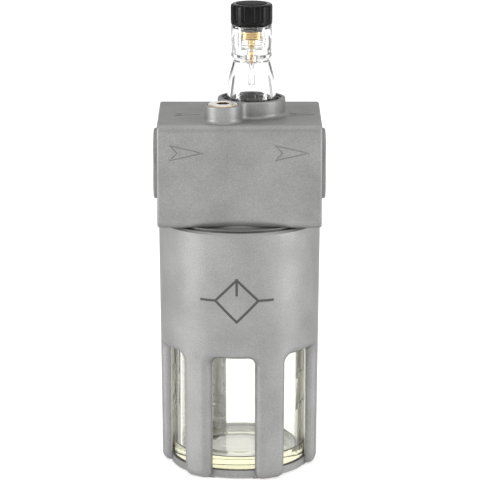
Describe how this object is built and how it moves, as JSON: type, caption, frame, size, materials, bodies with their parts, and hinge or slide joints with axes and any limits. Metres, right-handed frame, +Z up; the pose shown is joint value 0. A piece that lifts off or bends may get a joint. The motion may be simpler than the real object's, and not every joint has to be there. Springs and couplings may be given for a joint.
{
  "type": "compressed air lubricator",
  "caption": "In-line compressed-air oil-mist lubricator: block head with threaded ports, clear sight dome with needle knob, clear oil bowl in a slotted metal guard.",
  "frame": {"origin": "on the bowl axis at the bottom of the guard's feet", "axes": "+Z up along the bowl axis, +X the way the air flows (out of the outlet port), -Y the front with the filler plug"},
  "size_m": [0.072, 0.068, 0.1981],
  "materials": {
    "casting_paint": "fine cast texture, satin grey",
    "guard_paint": "satin silver-grey",
    "clear_bowl": "clear polycarbonate, slightly yellow in thick section",
    "clear_dome": "clear polycarbonate",
    "clear_tube": "natural nylon, milky clear",
    "black_plastic": "black acetal",
    "white_plastic": "white acetal",
    "black_rubber": "nitrile rubber",
    "brass": "turned",
    "plated_brass": "nickel plated, brass showing at the edges",
    "steel": "ground",
    "spring_steel": "dark spring wire",
    "porous_plastic": "sintered porous polyethylene"
  },
  "bodies": {
    "head": {"body_casting": "casting_paint", "throat_insert": "black_plastic", "throat_orings": "black_rubber", "vane_pin": "steel", "drip_seat": "black_plastic", "drip_seat_oring": "black_rubber", "sight_dome": "clear_dome", "drip_nozzle": "clear_dome", "dome_oring": "black_rubber", "dome_snap_ring": "spring_steel", "siphon_fitting": "brass", "siphon_tube": "clear_tube", "check_valve_housing": "clear_tube", "strainer": "porous_plastic", "air_jet": "brass"},
    "needle_lift": {"needle_oring": "black_rubber"},
    "needle_valve": {"knob": "black_plastic", "knob_disc": "black_plastic", "needle": "brass", "needle_bush": "brass"},
    "plug_lift": {"filler_plug_oring": "black_rubber"},
    "plug": {"filler_plug": "plated_brass"},
    "vane": {"damper_vane": "brass"},
    "ball": {"check_ball": "steel"},
    "bowl_set": {"bowl": "clear_bowl", "bowl_oring": "black_rubber", "guard_washer": "white_plastic"},
    "guard_sleeve": {"guard": "guard_paint"}
  },
  "joints": [
    {"name": "needle_rise", "type": "slide", "parent": "head", "child": "needle_lift", "axis": [0, 0, 1], "range_m": [0, 0.0015]},
    {"name": "knob_turn", "type": "hinge", "parent": "needle_lift", "child": "needle_valve", "pos_m": [0.005, 0, 0.1907], "axis": [0, 0, 1], "range_deg": [0, 540]},
    {"name": "plug_rise", "type": "slide", "parent": "head", "child": "plug_lift", "axis": [0, 0, 1], "range_m": [0, 0.012]},
    {"name": "plug_turn", "type": "hinge", "parent": "plug_lift", "child": "plug", "pos_m": [-0.0069, -0.0173, 0.1577], "axis": [0, 0, 1], "range_deg": [0, 2880]},
    {"name": "vane_swing", "type": "hinge", "parent": "head", "child": "vane", "pos_m": [-0.004, 0, 0.1336], "axis": [0, -1, 0], "range_deg": [0, 65], "stiffness_Nm_per_rad": 0.0005},
    {"name": "ball_lift", "type": "slide", "parent": "head", "child": "ball", "axis": [0, 0, 1], "range_m": [0, 0.0008]},
    {"name": "bowl_lower", "type": "slide", "parent": "head", "child": "bowl_set", "axis": [0, 0, -1], "range_m": [0, 0.012]},
    {"name": "guard_turn", "type": "hinge", "parent": "bowl_set", "child": "guard_sleeve", "pos_m": [0, 0, 0.0987], "axis": [0, 0, -1], "range_deg": [0, 2160]}
  ],
  "couplings": [
    {"joint": "knob_turn", "follows": "needle_rise", "rad_per_m": 6283.2},
    {"joint": "plug_turn", "follows": "plug_rise", "rad_per_m": 4188.8},
    {"joint": "bowl_lower", "follows": "guard_turn", "m_per_rad": 0.00031831}
  ]
}
